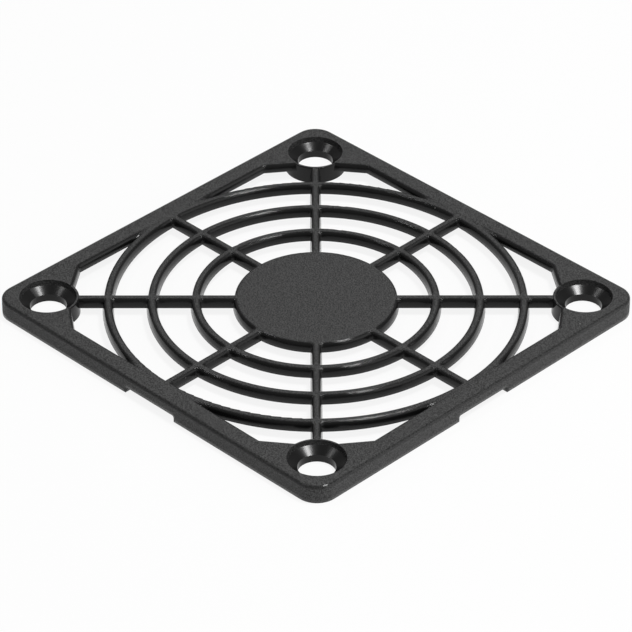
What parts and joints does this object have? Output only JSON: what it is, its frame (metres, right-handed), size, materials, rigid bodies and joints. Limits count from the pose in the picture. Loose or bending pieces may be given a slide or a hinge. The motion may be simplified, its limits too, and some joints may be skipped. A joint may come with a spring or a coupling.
{
  "type": "fan grille",
  "caption": "Square black plastic fan grille: concentric rings and spokes around a solid disc, in a shallow frame with countersunk screw bosses at its corners.",
  "frame": {"origin": "middle of the square, in the plane of the edge that rests on the fan", "axes": "+Z out of the outside face, +X and +Y towards the middles of two sides"},
  "size_m": [0.0604, 0.0604, 0.0025],
  "materials": {
    "black_plastic": "fine matte on the face and outer walls, glossy on the inner flanks"
  },
  "bodies": {
    "root": {"fan_grille": "black_plastic"}
  },
  "joints": []
}
